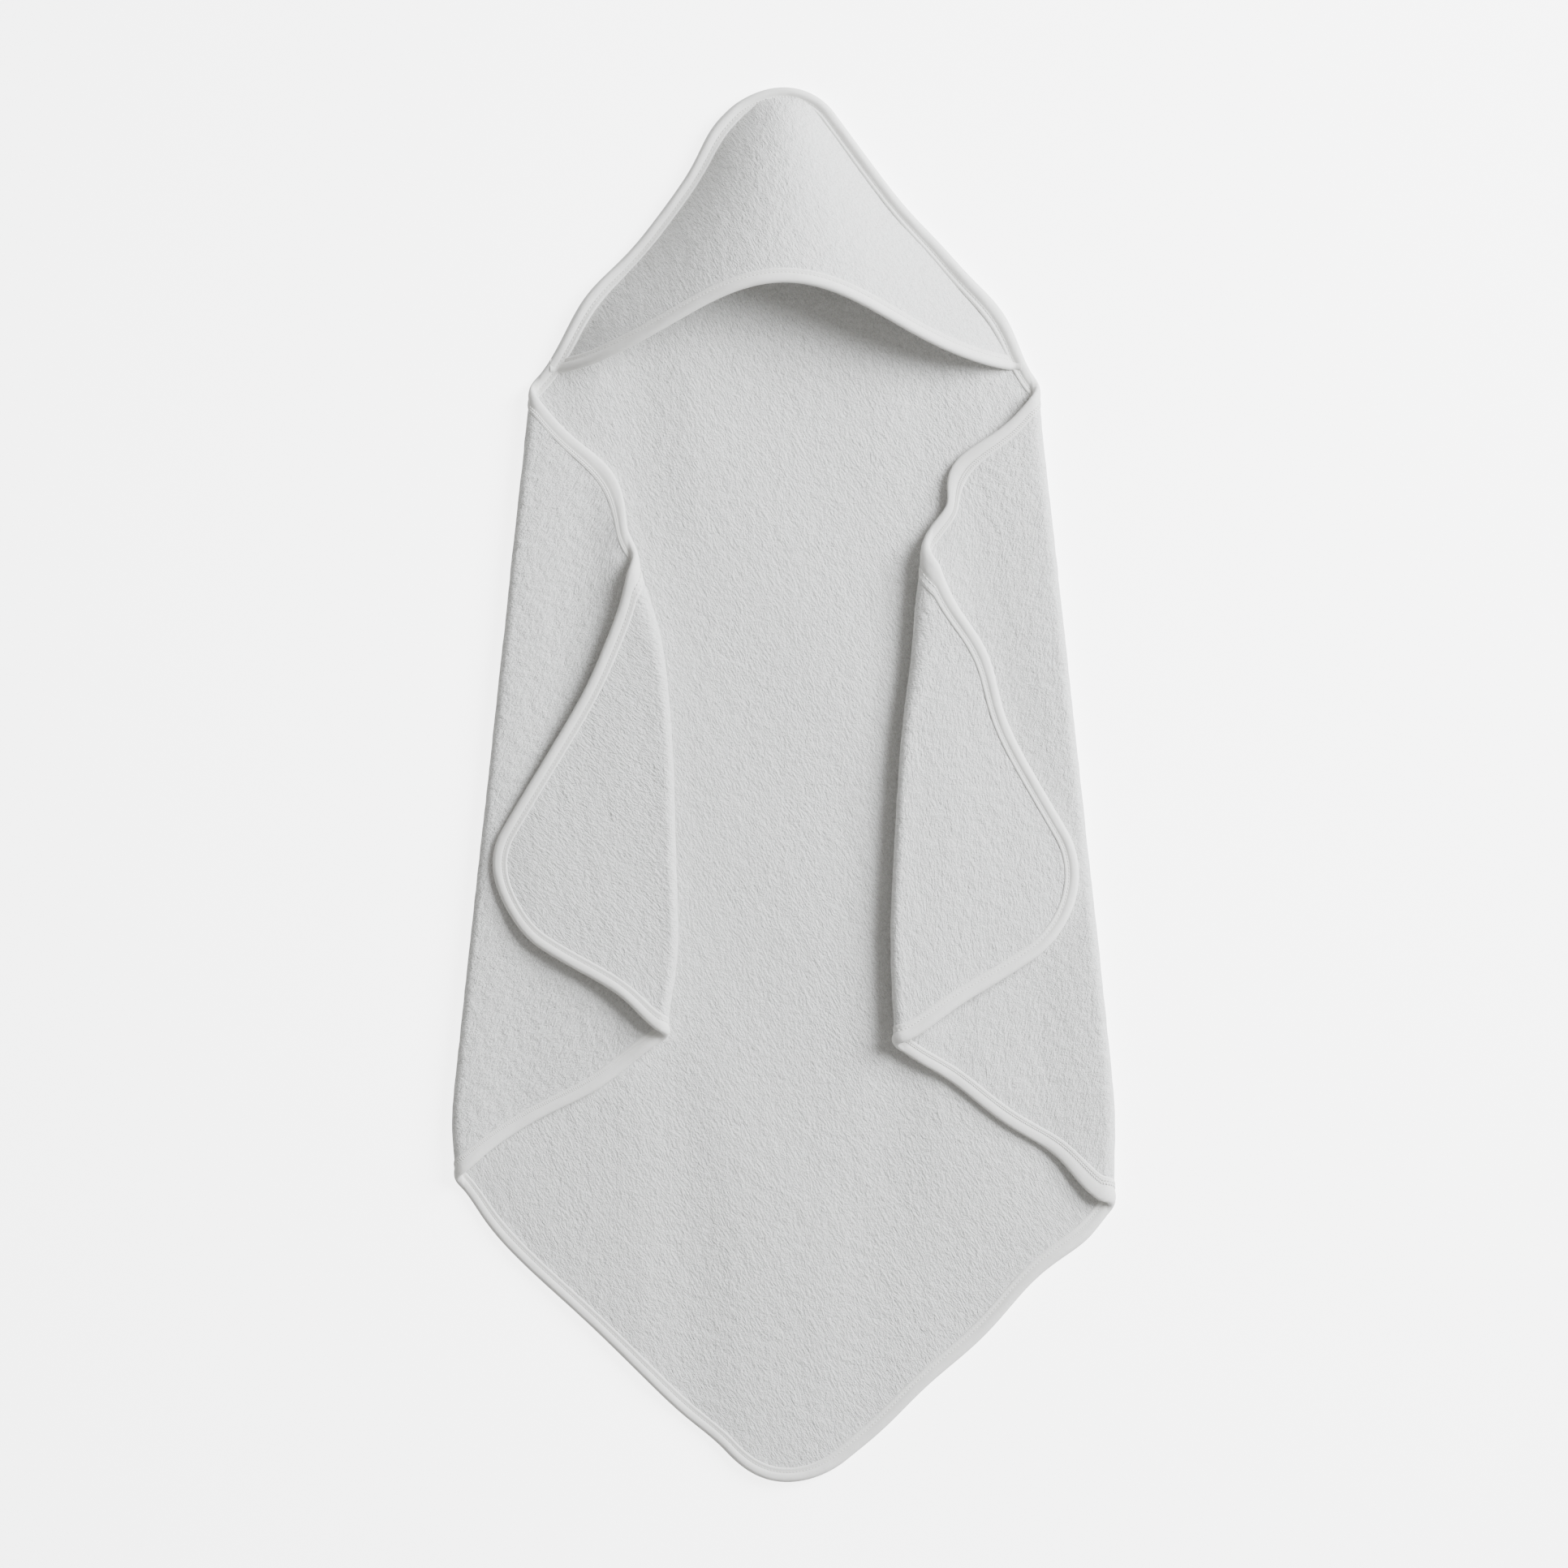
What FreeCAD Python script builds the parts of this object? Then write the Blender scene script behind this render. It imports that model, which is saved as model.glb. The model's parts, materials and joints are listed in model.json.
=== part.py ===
"""Hooded baby towel, laid on its back with both sides folded in a zigzag.

Frame: +Z up off the surface, +Y towards the hood, origin at the middle of the
towel's box on that surface. Millimetres. The towel is a square laid on its
point. Each side folds inwards over the body at a long outer fold, and outwards
again at an inner fold, so that three layers of cloth lie on each other.
"""

import FreeCAD, Part
import math
import os
import Sketcher

from FreeCAD import Placement, Rotation, Vector

os.makedirs("parts", exist_ok=True)
doc = FreeCAD.newDocument("hooded_baby_towel")

# ------------------------------------------------------------ dimensions

DIMENSIONS = [
    # alias, value, what it is
    ("point_low", 530, "bottom point of the square, below the origin, before rounding"),
    ("corner_reach", 523, "side corner, from the middle line, towel laid flat"),
    ("neck_half", 178, "half the towel's width where the hood begins"),
    ("neck_high", 292, "height of the neck above the origin"),
    ("apex_high", 534, "top point of the hood before rounding"),
    ("corner_round", 62, "radius of the bottom and side corners"),
    ("apex_round", 45, "radius of the hood's point"),
    ("cloth", 4, "thickness of the terry"),
    ("bend", 5, "radius of a fold, at the middle of the cloth"),
    ("fold_gap", 1, "clear distance between a fold line and the next plate"),
    ("outer_fold_x", 208, "outer fold's axis from the middle line, level with the origin"),
    ("outer_fold_lean", 6.2, "degrees that the outer fold leans in towards the hood"),
    ("inner_fold_x", 88, "inner fold's axis from the middle line, level with the origin"),
    ("inner_fold_lean", 3.1, "degrees that the inner fold leans out towards the hood"),
    ("hinge_high", 295, "line on which the hood turns"),
    ("binding_wide", 10.5, "width of the edge binding on each face"),
    ("tongue_inset", 2, "how far the cloth stops short of the binding's edge"),
    ("tongue_thick", 1.6, "cloth pressed thin inside the binding"),
    ("row_start", 7.3, "outer needle row, in from the edge"),
    ("row_step", 1.9, "from one needle row to the next"),
    ("thread_wide", 0.6, "width of a needle row"),
    ("thread_deep", 0.5, "depth of the thread in the binding"),
    ("hood_edge_thick", 9, "binding round both layers at the sides of the hood"),
    ("dome_half", 172, "half width of the hood's dome at its open end"),
    ("dome_rise", 74, "height of the dome over the back panel at its open end"),
    ("dome_start", 290, "open end of the dome before the arch is cut"),
    ("dome_end", 500, "closed end of the dome"),
    ("dome_end_half", 8, "half width of the dome at its closed end"),
    ("dome_end_rise", 4.5, "height of the dome at its closed end"),
    ("arch_radius", 250, "radius of the opening's arch, seen from above"),
    ("arch_centre", 107, "centre of that arch, above the origin"),
    ("outer_strip_top", 284, "upper end of the outer fold's strip"),
    ("outer_strip_low", -282, "lower end of the outer fold's strip"),
    ("inner_strip_top", 172, "upper end of the inner fold's strip"),
    ("inner_strip_low", -176, "lower end of the inner fold's strip"),
    ("far", 700, "beyond the towel on every side, for the cutting shapes"),
]

sheet = doc.addObject("Spreadsheet::Sheet", "dims")
for row, (alias, value, note) in enumerate(DIMENSIONS, start=1):
    sheet.set(f"A{row}", alias)
    sheet.set(f"B{row}", str(value))
    sheet.setAlias(f"B{row}", alias)
    sheet.set(f"C{row}", note)
doc.recompute()

# One object whose only work is to read expressions on the sheet's cells.
reader = doc.addObject("App::FeaturePython", "reader")


def size(text):
    """The present value of an expression on the sheet's cells."""
    value = reader.evalExpression(text)
    return float(getattr(value, "Value", value))


# ------------------------------------------------------------ helpers


def pin_point(sketch, index, position, across, up):
    """Fix one point of a sketch at a place given by two expressions."""
    for kind, text in (("DistanceX", across), ("DistanceY", up)):
        constraint = Sketcher.Constraint(kind, -1, 1, index, position, size(text))
        number = sketch.addConstraint(constraint)
        sketch.setExpression(f"Constraints[{number}]", text)


def corner_places(points, radii):
    """Where each rounded corner's arc leaves its two sides, and its centre."""
    places = []
    for i, here in enumerate(points):
        before = (points[i - 1] - here).normalize()
        after = (points[(i + 1) % len(points)] - here).normalize()
        half = before.getAngle(after) / 2
        run = radii[i] / math.tan(half)
        middle = (before + after).normalize() * (radii[i] / math.sin(half))
        places.append((here + before * run, here + middle, here + after * run))
    return places


def outline(name, corners):
    """A closed sketch of straight sides, its corners sharp or rounded.

    corners holds (across, up, radius) as expressions, anticlockwise; a sharp
    corner has None for its radius.
    """
    sketch = doc.addObject("Sketcher::SketchObject", name)
    points = [Vector(size(x), size(y), 0) for x, y, _ in corners]
    radii = [size(r) if r else 0.0 for _, _, r in corners]
    places = corner_places(points, radii)
    count = len(corners)
    for i in range(count):
        side = Part.LineSegment(places[i][2], places[(i + 1) % count][0])
        sketch.addGeometry(side, False)
    for i, (across, up, radius) in enumerate(corners):
        previous = (i - 1) % count
        if radius is None:
            sketch.addConstraint(Sketcher.Constraint("Coincident", previous, 2, i, 1))
            pin_point(sketch, i, 1, across, up)
            continue
        start, centre, end = places[i]
        first = math.atan2(start.y - centre.y, start.x - centre.x)
        last = math.atan2(end.y - centre.y, end.x - centre.x)
        circle = Part.Circle(centre, Vector(0, 0, 1), radii[i])
        arc = sketch.addGeometry(Part.ArcOfCircle(circle, first, last), False)
        corner = sketch.addGeometry(Part.Point(points[i]), True)
        sketch.addConstraint(Sketcher.Constraint("Tangent", previous, 2, arc, 1))
        sketch.addConstraint(Sketcher.Constraint("Tangent", arc, 2, i, 1))
        number = sketch.addConstraint(Sketcher.Constraint("Radius", arc, radii[i]))
        sketch.setExpression(f"Constraints[{number}]", radius)
        sketch.addConstraint(Sketcher.Constraint("PointOnObject", corner, 1, previous))
        sketch.addConstraint(Sketcher.Constraint("PointOnObject", corner, 1, i))
        pin_point(sketch, corner, 1, across, up)
    return sketch


def slab(name, flat_shape, low, thick):
    """A flat shape given a thickness, from a height above the surface."""
    solid = doc.addObject("Part::Extrusion", name)
    solid.Base = flat_shape
    solid.DirMode = "Custom"
    solid.Dir = Vector(0, 0, 1)
    solid.Solid = True
    solid.setExpression("LengthFwd", thick)
    solid.setExpression("Placement.Base.z", low)
    return solid


def inset(name, source, distance):
    """The outline again, a distance in from the edge."""
    smaller = doc.addObject("Part::Offset2D", name)
    smaller.Source = source
    smaller.setExpression("Value", f"-({distance})")
    return smaller


def cut(name, base, tool):
    """What is left of base outside tool."""
    result = doc.addObject("Part::Cut", name)
    result.Base = base
    result.Tool = tool
    return result


def join(name, *pieces):
    """Several solids as one."""
    result = doc.addObject("Part::MultiFuse", name)
    result.Shapes = list(pieces)
    return result


def common(name, base, tool):
    """The part of base inside tool."""
    result = doc.addObject("Part::Common", name)
    result.Base = base
    result.Tool = tool
    return result


# ------------------------------------------------------------ the flat towel

towel_outline = outline(
    "towel_outline",
    [
        ("0", "-dims.point_low", "dims.corner_round"),
        ("dims.corner_reach", "dims.corner_reach - dims.point_low", "dims.corner_round"),
        ("dims.neck_half", "dims.neck_high", None),
        ("0", "dims.apex_high", "dims.apex_round"),
        ("-dims.neck_half", "dims.neck_high", None),
        ("-dims.corner_reach", "dims.corner_reach - dims.point_low", "dims.corner_round"),
    ],
)

row_one = "dims.row_start"
row_two = "dims.row_start + dims.row_step"
under_binding = inset("under_binding", towel_outline, "dims.binding_wide")
tongue_edge = inset("tongue_edge", towel_outline, "dims.tongue_inset")
row_edges = [
    inset("row_one_outside", towel_outline, row_one),
    inset("row_one_inside", towel_outline, f"{row_one} + dims.thread_wide"),
    inset("row_two_outside", towel_outline, row_two),
    inset("row_two_inside", towel_outline, f"{row_two} + dims.thread_wide"),
]


def towel_layers(prefix, edge_thick):
    """The whole flat towel as panel, edge binding and stitching.

    The panel's thin tongue goes into the binding. Two needle rows lie in the
    binding's upper face, and one wide looper row in its lower face.
    """
    core = slab(f"{prefix}_core", under_binding, "0", "dims.cloth")
    tongue_low = "(dims.cloth - dims.tongue_thick) / 2"
    tongue = slab(f"{prefix}_tongue", tongue_edge, tongue_low, "dims.tongue_thick")
    panel = join(f"{prefix}_panel", core, tongue)

    top = f"{edge_thick} - dims.thread_deep"
    spans = [
        ("row_one", 0, 1, top),
        ("row_two", 2, 3, top),
        ("looper_row", 0, 3, "0"),
    ]
    rows = []
    for name, outside, inside, low in spans:
        full = slab(f"{prefix}_{name}_full", row_edges[outside], low, "dims.thread_deep")
        hollow = slab(f"{prefix}_{name}_hollow", row_edges[inside], low, "dims.thread_deep")
        rows.append(cut(f"{prefix}_{name}", full, hollow))
    stitching = join(f"{prefix}_stitching", *rows)

    whole = slab(f"{prefix}_edge_full", towel_outline, "0", edge_thick)
    inside = slab(f"{prefix}_edge_inside", under_binding, "0", edge_thick)
    ring = cut(f"{prefix}_ring", whole, inside)
    channel = cut(f"{prefix}_channel", ring, tongue)
    binding = cut(f"{prefix}_binding", channel, stitching)
    return {"panel": panel, "binding": binding, "stitching": stitching}


single = towel_layers("single", "dims.cloth")
double = towel_layers("double", "dims.hood_edge_thick")

# ------------------------------------------------------------ folds and zones


def fold_line(side, which):
    """A point on a fold's axis at rest, its direction, and the way outwards."""
    lean = math.radians(size(f"dims.{which}_fold_lean"))
    if which == "inner":
        lean = -lean
    reach = size(f"dims.{which}_fold_x")
    along = Vector(-side * math.sin(lean), math.cos(lean), 0)
    outwards = Vector(side * math.cos(lean), math.sin(lean), 0)
    layer = 1 if which == "outer" else 3
    height = size("dims.cloth") / 2 + layer * size("dims.bend")
    return Vector(side * reach, 0, height), along, outwards


def half_turn(point, along):
    """A turn of 180 degrees about a line."""
    return Placement(Vector(0, 0, 0), Rotation(along, 180), point)


def slide(step):
    """A move without a turn."""
    return Placement(step, Rotation())


def folded_places(side):
    """Where the flat towel goes for one wing and for one tip.

    A bend takes up half a circle of cloth, so the cloth beyond it comes in by
    that length before it turns over.
    """
    taken = math.pi * size("dims.bend")
    point, along, outwards = fold_line(side, "outer")
    wing = half_turn(point, along) * slide(outwards * -taken)
    point, along, outwards = fold_line(side, "inner")
    tip = half_turn(point, along) * slide(outwards * taken) * wing
    return wing, tip


def fold_at(side, which, height, gap):
    """How far across a fold's line is at a height, as an expression."""
    sign = "-" if which == "outer" else "+"
    slope = f"tan(dims.{which}_fold_lean * 1deg)"
    mark = "-" if side < 0 else ""
    return f"{mark}(dims.{which}_fold_x {sign} ({height}) * {slope} + ({gap}))"


def zone(name, corners):
    """A tall prism that picks one stretch of the towel out of its layers."""
    sketch = outline(f"{name}_outline", [(x, y, None) for x, y in corners])
    return slab(name, sketch, "-dims.far", "2 * dims.far")


def zones():
    """The stretches of cloth: body, hood, and a wing and a tip each side."""
    hinge = "dims.hinge_high"
    low = "-dims.far"
    wing_top = "dims.neck_high - 4 * dims.fold_gap"
    found = {
        "body": zone(
            "body_zone",
            [
                (fold_at(1, "outer", low, "0"), low),
                (fold_at(1, "outer", hinge, "0"), hinge),
                (fold_at(-1, "outer", hinge, "0"), hinge),
                (fold_at(-1, "outer", low, "0"), low),
            ],
        ),
        "hood": zone(
            "hood_zone",
            [
                ("-dims.far", f"{hinge} + dims.fold_gap"),
                ("dims.far", f"{hinge} + dims.fold_gap"),
                ("dims.far", "dims.far"),
                ("-dims.far", "dims.far"),
            ],
        ),
    }
    for side, label in SIDES:
        gap = "dims.fold_gap"
        found[f"{label}_wing"] = zone(
            f"{label}_wing_zone",
            [
                (fold_at(side, "outer", low, f"-{gap}"), low),
                (fold_at(side, "outer", wing_top, f"-{gap}"), wing_top),
                (fold_at(side, "inner", wing_top, gap), wing_top),
                (fold_at(side, "inner", low, gap), low),
            ][::side],
        )
        far_out = "-dims.far" if side < 0 else "dims.far"
        found[f"{label}_tip"] = zone(
            f"{label}_tip_zone",
            [
                (far_out, low),
                (far_out, "dims.far"),
                (fold_at(side, "inner", "dims.far", gap), "dims.far"),
                (fold_at(side, "inner", low, gap), low),
            ][::side],
        )
    return found


SIDES = ((-1, "left"), (1, "right"))
areas = zones()
nodes = []


def add_node(obj, label):
    """Name a finished piece and put it on the list to be written."""
    obj.Label = label
    nodes.append(obj)


def cut_out(area, layers, names, place):
    """The panel, binding and stitching of one stretch, folded to its place."""
    for part, label in names.items():
        source = layers[part]
        if place is not None:
            moved = doc.addObject("Part::Compound", f"{label}_folded")
            moved.Links = [source]
            moved.Placement = place
            source = moved
        add_node(common(label, source, areas[area]), label)


cut_out(
    "body",
    single,
    {"panel": "body_panel", "binding": "bottom_binding", "stitching": "bottom_stitching"},
    None,
)
cut_out(
    "hood",
    double,
    {
        "panel": "hood_back_panel",
        "binding": "hood_side_binding",
        "stitching": "hood_side_stitching",
    },
    None,
)
for side, label in SIDES:
    for stretch, place in zip(("wing", "tip"), folded_places(side)):
        names = {part: f"{label}_{stretch}_{part}" for part in single}
        cut_out(f"{label}_{stretch}", single, names, place)

# ------------------------------------------------------------ fold strips


def fold_strip(side, label, which):
    """The half round of cloth that joins two layers at a fold."""
    point, along, outwards = fold_line(side, which)
    bulge = outwards if which == "outer" else -outwards
    low = f"dims.{which}_strip_low"
    length = f"dims.{which}_strip_top - {low}"
    turned = Rotation(bulge.cross(along), bulge, along, "ZYX")
    foot = point + along * size(low)
    tubes = []
    for name, wall in (("outside", "+"), ("inside", "-")):
        tube = doc.addObject("Part::Cylinder", f"{label}_{which}_{name}")
        tube.setExpression("Radius", f"dims.bend {wall} dims.cloth / 2")
        tube.setExpression("Height", length)
        tube.Angle = 180
        tube.Placement = Placement(foot, turned)
        tubes.append(tube)
    add_node(cut(f"{label}_{which}_fold", *tubes), f"{label}_{which}_fold")


for side, label in SIDES:
    fold_strip(side, label, "outer")
    fold_strip(side, label, "inner")

# ------------------------------------------------------------ hood panel


def arch_section(name, half, rise, wall, along):
    """One upright slice of a domed shell: two arcs on a common foot."""
    sketch = doc.addObject("Sketcher::SketchObject", name)
    sketch.Placement = Placement(Vector(0, 0, 0), Rotation(Vector(1, 0, 0), 90))
    sketch.setExpression("Placement.Base.y", along)
    sketch.setExpression("Placement.Base.z", "dims.cloth")
    arcs = []
    for reach, height in ((half, rise), (f"{half} - {wall}", f"{rise} - {wall}")):
        wide, tall = size(reach), size(height)
        curve = Part.Arc(Vector(wide, 0, 0), Vector(0, tall, 0), Vector(-wide, 0, 0))
        arc = sketch.addGeometry(curve, False)
        pin_point(sketch, arc, 1, reach, "0")
        pin_point(sketch, arc, 2, f"-({reach})", "0")
        radius = f"(({reach})^2 + ({height})^2) / (2 * ({height}))"
        number = sketch.addConstraint(Sketcher.Constraint("Radius", arc, size(radius)))
        sketch.setExpression(f"Constraints[{number}]", radius)
        arcs.append(arc)
    outer, inner = arcs
    for end in (1, 2):
        foot = [sketch.getPoint(arc, end) for arc in arcs]
        line = sketch.addGeometry(Part.LineSegment(*foot), False)
        sketch.addConstraint(Sketcher.Constraint("Coincident", line, 1, outer, end))
        sketch.addConstraint(Sketcher.Constraint("Coincident", line, 2, inner, end))
    return sketch


def dome(name, wall_start, wall_end):
    """The hood's dome, from its wide open end to its closed end."""
    shell = doc.addObject("Part::Loft", name)
    shell.Sections = [
        arch_section(
            f"{name}_start", "dims.dome_half", "dims.dome_rise", wall_start, "dims.dome_start"
        ),
        arch_section(
            f"{name}_end", "dims.dome_end_half", "dims.dome_end_rise", wall_end, "dims.dome_end"
        ),
    ]
    shell.Solid = True
    shell.Ruled = True
    return shell


def arch(name, inset_by):
    """An upright drum whose edge is the opening's arch, moved in by a width."""
    drum = doc.addObject("Part::Cylinder", name)
    drum.setExpression("Radius", f"dims.arch_radius + {inset_by}")
    drum.setExpression("Height", "dims.far")
    drum.setExpression("Placement.Base.y", "dims.arch_centre")
    return drum


def hood_panel():
    """The second layer, its bound arched edge, and that edge's stitching."""
    hood_edge = slab("hood_edge_full", towel_outline, "0", "dims.hood_edge_thick + dims.far")
    hood_inside = slab("hood_edge_inside", under_binding, "0", "dims.far * 2")
    rim_wall = cut("hood_edge_wall", hood_edge, hood_inside)
    shell = cut("dome_trimmed", dome("dome", "dims.cloth", "dims.cloth"), rim_wall)
    skin = cut("skin_trimmed", dome("skin", "dims.thread_deep", "dims.thread_deep"), rim_wall)

    opening = arch("opening", "0")
    bound = arch("bound", "dims.binding_wide")
    band = cut("rim_band", bound, opening)
    rings = []
    for name, start in (("one", row_one), ("two", row_two)):
        inner = arch(f"rim_row_{name}_inner", start)
        outer = arch(f"rim_row_{name}_outer", f"{start} + dims.thread_wide")
        rings.append(cut(f"rim_row_{name}", outer, inner))
    rim_rows = join("rim_rows", *rings)

    add_node(cut("hood_panel", shell, bound), "hood_panel")
    stitching = common("hood_opening_stitching", skin, rim_rows)
    add_node(stitching, "hood_opening_stitching")
    rim = common("rim_whole", shell, band)
    add_node(cut("hood_opening_binding", rim, stitching), "hood_opening_binding")


hood_panel()

# ------------------------------------------------------------ check and write

doc.recompute()
for obj in doc.Objects:
    if "Invalid" in obj.State or "Error" in obj.State:
        raise RuntimeError(f"{obj.Label} failed: {obj.State}")
for obj in nodes:
    shape = obj.Shape
    if shape.isNull() or not shape.isValid() or not shape.Solids:
        raise RuntimeError(f"{obj.Label} has no sound solid")
    shape.exportStep(f"parts/{obj.Label}.step")
    box = shape.BoundBox
    print(
        f"{obj.Label:26s} solids {len(shape.Solids)}  cm3 {shape.Volume / 1000:8.2f}"
        f"  x {box.XMin:7.1f} {box.XMax:7.1f}  y {box.YMin:7.1f} {box.YMax:7.1f}"
        f"  z {box.ZMin:6.1f} {box.ZMax:6.1f}"
    )
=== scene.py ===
"""Hooded baby towel: terry folded in a zigzag over itself, with bound, stitched edges and a hood.

Every part of the cloth is made flat first, as it comes off the cutting table, and then laid:
flat places are (across, up, off) in metres, where off is the distance from the middle of the
cloth towards its inside face. Metres throughout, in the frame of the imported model.
"""

import json
import math

import bmesh
import bpy
import numpy as np
from mathutils import Matrix, Vector, kdtree, noise


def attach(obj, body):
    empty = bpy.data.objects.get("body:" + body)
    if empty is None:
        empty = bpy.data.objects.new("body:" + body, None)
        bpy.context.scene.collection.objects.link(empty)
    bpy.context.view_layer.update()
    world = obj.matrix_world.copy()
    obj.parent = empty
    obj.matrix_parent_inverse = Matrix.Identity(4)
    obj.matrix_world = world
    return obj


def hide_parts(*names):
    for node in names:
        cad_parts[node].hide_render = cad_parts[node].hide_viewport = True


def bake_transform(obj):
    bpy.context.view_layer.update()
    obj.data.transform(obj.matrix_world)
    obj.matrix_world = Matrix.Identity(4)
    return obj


bl_info = {
    "name": "Hooded Baby Towel",
    "version": (1, 0, 0),
    "blender": (4, 5, 0),
    "location": "View3D > Sidebar > Towel",
    "description": "Builds a folded hooded towel of terry around its packed frame",
    "category": "Add Mesh",
}

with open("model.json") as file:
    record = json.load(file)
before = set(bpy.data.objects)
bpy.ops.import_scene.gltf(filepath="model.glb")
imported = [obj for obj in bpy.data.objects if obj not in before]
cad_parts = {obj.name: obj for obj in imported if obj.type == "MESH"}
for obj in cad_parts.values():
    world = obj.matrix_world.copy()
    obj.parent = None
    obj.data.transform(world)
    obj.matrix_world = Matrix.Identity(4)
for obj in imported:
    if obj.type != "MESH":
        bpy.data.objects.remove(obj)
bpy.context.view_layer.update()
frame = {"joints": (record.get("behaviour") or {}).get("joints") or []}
JOINTS = {joint["name"]: joint for joint in frame["joints"]}
MM = 0.001
SIDES = {-1: "left", 1: "right"}

# The cut, as it lies flat: corners anticlockwise from the bottom point, each with its radius.
CUT = [
    ((0, -530), 62),
    ((523, -7), 62),
    ((178, 292), 140),
    ((0, 534), 45),
    ((-178, 292), 140),
    ((-523, -7), 62),
]
HOOD_TOP = 534 * MM  # the hood's point before rounding
HOOD_SLOPE = 178 / 242  # how fast the hood narrows on each side
NECK_CUT = 286 * MM  # the wings end just below the neck

SECOND_LAYER_LOW = 288 * MM  # from here up the binding also holds the hood's second layer
SECOND_LAYER_RUN = 30 * MM  # it thickens over this length
SECOND_LAYER_GAIN = 1.1  # and its inside face then stands off this much more

CELL = 4 * MM  # side of one mesh face of the panels
BEND_STEPS = 8  # mesh faces round a bend
BEND_RADIUS = 4.4 * MM
STRIP = 1 * MM  # how far a sheet reaches past the start of its bend
SETTLE = 4.2 * MM  # how far the wing layer sinks between its two bends
SETTLE_RUN = 45 * MM  # and over what length it does so
TIP_SETTLE = 7.2 * MM  # how far the tip layer sinks away from its bend
TIP_SLOPE = 0.1  # how steeply it sinks


# ------------------------------------------------------------------ settings


class TowelSettings(bpy.types.PropertyGroup):
    """Sizes and colours that a user may change."""

    cloth: bpy.props.FloatProperty(
        name="Terry thickness", description="Thickness of the terry with its pile",
        default=3.6 * MM, min=0.001, max=0.006, subtype="DISTANCE", unit="LENGTH",
    )
    tape_width: bpy.props.FloatProperty(
        name="Binding width", description="Width of the edge binding on each face",
        default=10.5 * MM, min=0.006, max=0.02, subtype="DISTANCE", unit="LENGTH",
    )
    needle_pitch: bpy.props.FloatProperty(
        name="Needle stitch", description="Length from one needle stitch to the next",
        default=2.7 * MM, min=0.001, max=0.01, subtype="DISTANCE", unit="LENGTH",
    )
    looper_pitch: bpy.props.FloatProperty(
        name="Looper stitch", description="Length from one looper bead to the next",
        default=1.6 * MM, min=0.001, max=0.01, subtype="DISTANCE", unit="LENGTH",
    )
    dome_rise: bpy.props.FloatProperty(
        name="Hood height", description="Height of the hood's dome at the middle of its opening",
        default=56 * MM, min=0.01, max=0.06, subtype="DISTANCE", unit="LENGTH",
    )
    loop_size: bpy.props.FloatProperty(
        name="Loop size", description="Distance between the loops of the terry pile",
        default=1.15 * MM, min=0.0005, max=0.003, subtype="DISTANCE", unit="LENGTH",
    )
    terry_colour: bpy.props.FloatVectorProperty(
        name="Terry", description="Colour of the terry's loops",
        default=(0.86, 0.86, 0.845), size=3, min=0, max=1, subtype="COLOR",
    )
    tape_colour: bpy.props.FloatVectorProperty(
        name="Binding", description="Colour of the jersey binding",
        default=(0.87, 0.865, 0.84), size=3, min=0, max=1, subtype="COLOR",
    )
    thread_colour: bpy.props.FloatVectorProperty(
        name="Thread", description="Colour of the sewing thread",
        default=(0.88, 0.875, 0.85), size=3, min=0, max=1, subtype="COLOR",
    )


def settings(context):
    """The towel's settings."""
    return context.scene.hooded_towel


# ------------------------------------------------------------------ folds


class Fold:
    """One straight fold of the laid towel, taken from its joint in the frame."""

    def __init__(self, joint_name, side, ends):
        joint = JOINTS[joint_name]
        along = np.array(joint["axis"][:2], float)
        self.along = along * math.copysign(1, along[1]) / np.linalg.norm(along)
        self.outwards = side * np.array([self.along[1], -self.along[0]])
        self.point = np.array(joint["pos_m"][:2], float)
        self.high = joint["pos_m"][2]
        self.ends = ends

    def beyond(self, plan):
        """How far outside the fold's line each place is."""
        return (plan - self.point) @ self.outwards

    def bend(self, plan):
        """Half the width and half the height of the bend, looser where the edge crosses it."""
        run = (plan - self.point) @ self.along
        wide = np.full(len(plan), BEND_RADIUS)
        high = np.full(len(plan), BEND_RADIUS)
        for end, reach, wider, higher in self.ends:
            near = np.exp(-(((run - end * MM) / (reach * MM)) ** 2))
            wide += wider * MM * near
            high += higher * MM * near
        return wide, high


# The loose ends of each fold in mm: place along it, reach, and how much wider and higher.
OUTER_ENDS = {
    -1: [(290, 34, 1, 0.2), (-282, 46, 2, 0.4)],
    1: [(290, 34, 1, 0.2), (-300, 46, 2, 0.4)],
}
INNER_ENDS = {
    -1: [(176, 55, 3, 0.8), (-180, 40, 2, 0.6)],
    1: [(180, 55, 3, 0.8), (-185, 40, 2, 0.6)],
}
OUTER = {side: Fold(f"{word}_wing_open", side, OUTER_ENDS[side]) for side, word in SIDES.items()}
INNER = {side: Fold(f"{word}_tip_open", side, INNER_ENDS[side]) for side, word in SIDES.items()}


def ease(value):
    """0 below 0, 1 above 1, smooth between."""
    t = np.clip(value, 0, 1)
    return t * t * (3 - 2 * t)


def roll(distance, wide, high):
    """Cloth that meets a bend: where it ends up along and above, its turn, and its upright."""
    length = math.pi * (wide + high) / 2
    start = (math.pi * BEND_RADIUS - length) / 2
    turn = np.clip((distance - start) / length, 0, 1) * math.pi
    past = np.maximum(distance - start - length, 0)
    along = np.where(distance < start, distance, start + wide * np.sin(turn) - past)
    lean, rise = high * np.sin(turn), wide * np.cos(turn)
    size = np.hypot(lean, rise)
    return along, high * (1 - np.cos(turn)), turn, (lean / size, rise / size)


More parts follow.
